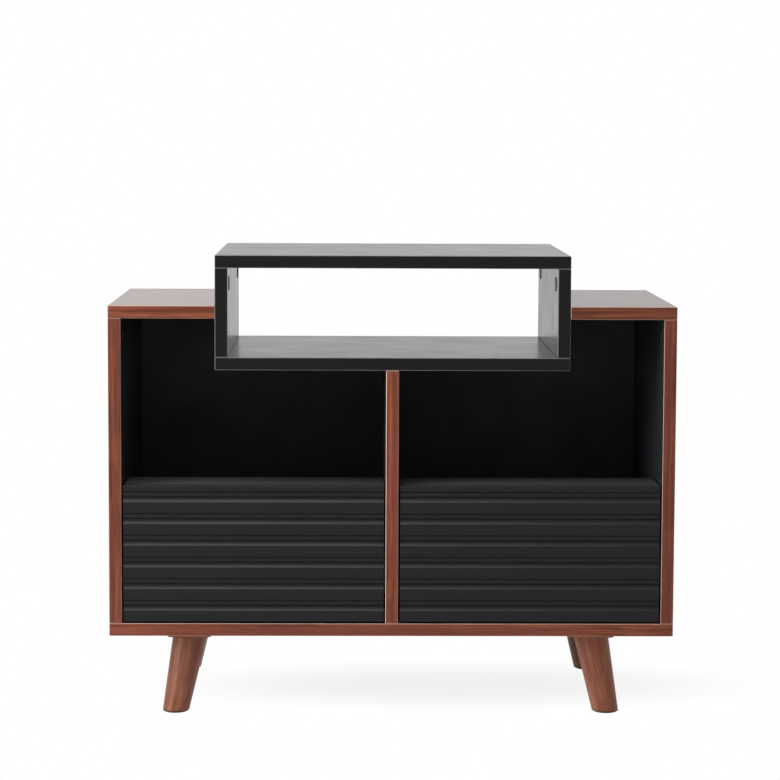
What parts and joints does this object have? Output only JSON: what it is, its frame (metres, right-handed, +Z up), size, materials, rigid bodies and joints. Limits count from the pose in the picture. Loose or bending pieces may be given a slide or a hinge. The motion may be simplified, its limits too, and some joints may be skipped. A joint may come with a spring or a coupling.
{
  "type": "record cabinet",
  "caption": "Record cabinet on splayed legs: pull-out record drawers with grooved fronts and finger ledges, under a raised open bay for a turntable.",
  "frame": {"origin": "on the floor under the middle of the cabinet, at the centre of its width and depth", "axes": "+X to the cabinet's right as seen from the front, -Y out of the front, +Z up"},
  "size_m": [0.8, 0.4, 0.657],
  "materials": {
    "walnut_edge_band": "satin walnut print on the edge band",
    "walnut_laminate": "satin laminate on particle board, walnut outside and black towards the bays",
    "black_laminate": "satin black laminate on particle board",
    "black_lacquer": "satin black lacquer on fibreboard",
    "drawer_laminate": "matt black laminate",
    "back_board": "matt black hardboard",
    "stained_leg": "satin stained solid wood",
    "stained_block": "satin stained wood",
    "foot_felt": "soft dark pad",
    "beech": "raw beech",
    "cam_alloy": "die-cast",
    "cover_plastic": "matt",
    "runner_zinc": "black zinc plated",
    "zinc_steel": "zinc plated"
  },
  "bodies": {
    "cabinet": {"back_left_leg": "stained_leg", "back_left_leg_block": "stained_block", "back_panel_screws": "zinc_steel", "back_right_leg": "stained_leg", "back_right_leg_block": "stained_block", "bottom_panel": "walnut_laminate", "cam_bolts": "zinc_steel", "cam_covers": "cover_plastic", "cam_locks": "cam_alloy", "centre_divider": "walnut_laminate", "connecting_screws": "zinc_steel", "dowels": "beech", "foot_pads": "foot_felt", "front_left_leg": "stained_leg", "front_left_leg_block": "stained_block", "front_right_leg": "stained_leg", "front_right_leg_block": "stained_block", "left_back_panel": "back_board", "left_drawer_outer_runners": "runner_zinc", "left_side_panel": "walnut_laminate", "left_top_board": "walnut_laminate", "leg_block_screws": "zinc_steel", "leg_bolts": "zinc_steel", "leg_inserts": "zinc_steel", "right_back_panel": "back_board", "right_drawer_outer_runners": "runner_zinc", "right_side_panel": "walnut_laminate", "right_top_board": "walnut_laminate", "riser_bottom_panel": "black_laminate", "riser_left_side": "black_laminate", "riser_right_side": "black_laminate", "riser_top_panel": "black_laminate", "runner_screws": "zinc_steel", "walnut_edge_bands": "walnut_edge_band"},
    "left_drawer": {"left_drawer_front": "black_lacquer", "left_drawer_ledge": "black_lacquer", "left_drawer_left_side": "drawer_laminate", "left_drawer_right_side": "drawer_laminate", "left_drawer_back": "drawer_laminate", "left_drawer_bottom": "drawer_laminate", "left_drawer_brackets": "zinc_steel", "left_drawer_screws": "zinc_steel", "left_drawer_dowels": "beech", "left_drawer_inner_runners": "runner_zinc"},
    "left_runner_middles": {"left_drawer_middle_runners": "runner_zinc"},
    "left_outer_cages": {"left_drawer_outer_ball_cages": "runner_zinc"},
    "left_inner_cages": {"left_drawer_inner_ball_cages": "runner_zinc"},
    "right_drawer": {"right_drawer_front": "black_lacquer", "right_drawer_ledge": "black_lacquer", "right_drawer_left_side": "drawer_laminate", "right_drawer_right_side": "drawer_laminate", "right_drawer_back": "drawer_laminate", "right_drawer_bottom": "drawer_laminate", "right_drawer_brackets": "zinc_steel", "right_drawer_screws": "zinc_steel", "right_drawer_dowels": "beech", "right_drawer_inner_runners": "runner_zinc"},
    "right_runner_middles": {"right_drawer_middle_runners": "runner_zinc"},
    "right_outer_cages": {"right_drawer_outer_ball_cages": "runner_zinc"},
    "right_inner_cages": {"right_drawer_inner_ball_cages": "runner_zinc"}
  },
  "joints": [
    {"name": "left_drawer_slide", "type": "slide", "parent": "cabinet", "child": "left_drawer", "axis": [0, -1, 0], "range_m": [0, 0.35]},
    {"name": "left_runner_middles_slide", "type": "slide", "parent": "cabinet", "child": "left_runner_middles", "axis": [0, -1, 0], "range_m": [0, 0.175]},
    {"name": "left_outer_cages_slide", "type": "slide", "parent": "cabinet", "child": "left_outer_cages", "axis": [0, -1, 0], "range_m": [0, 0.0875]},
    {"name": "left_inner_cages_slide", "type": "slide", "parent": "cabinet", "child": "left_inner_cages", "axis": [0, -1, 0], "range_m": [0, 0.2625]},
    {"name": "right_drawer_slide", "type": "slide", "parent": "cabinet", "child": "right_drawer", "axis": [0, -1, 0], "range_m": [0, 0.35]},
    {"name": "right_runner_middles_slide", "type": "slide", "parent": "cabinet", "child": "right_runner_middles", "axis": [0, -1, 0], "range_m": [0, 0.175]},
    {"name": "right_outer_cages_slide", "type": "slide", "parent": "cabinet", "child": "right_outer_cages", "axis": [0, -1, 0], "range_m": [0, 0.0875]},
    {"name": "right_inner_cages_slide", "type": "slide", "parent": "cabinet", "child": "right_inner_cages", "axis": [0, -1, 0], "range_m": [0, 0.2625]}
  ],
  "couplings": [
    {"joint": "left_runner_middles_slide", "follows": "left_drawer_slide", "ratio": 0.5},
    {"joint": "left_outer_cages_slide", "follows": "left_drawer_slide", "ratio": 0.25},
    {"joint": "left_inner_cages_slide", "follows": "left_drawer_slide", "ratio": 0.75},
    {"joint": "right_runner_middles_slide", "follows": "right_drawer_slide", "ratio": 0.5},
    {"joint": "right_outer_cages_slide", "follows": "right_drawer_slide", "ratio": 0.25},
    {"joint": "right_inner_cages_slide", "follows": "right_drawer_slide", "ratio": 0.75}
  ]
}
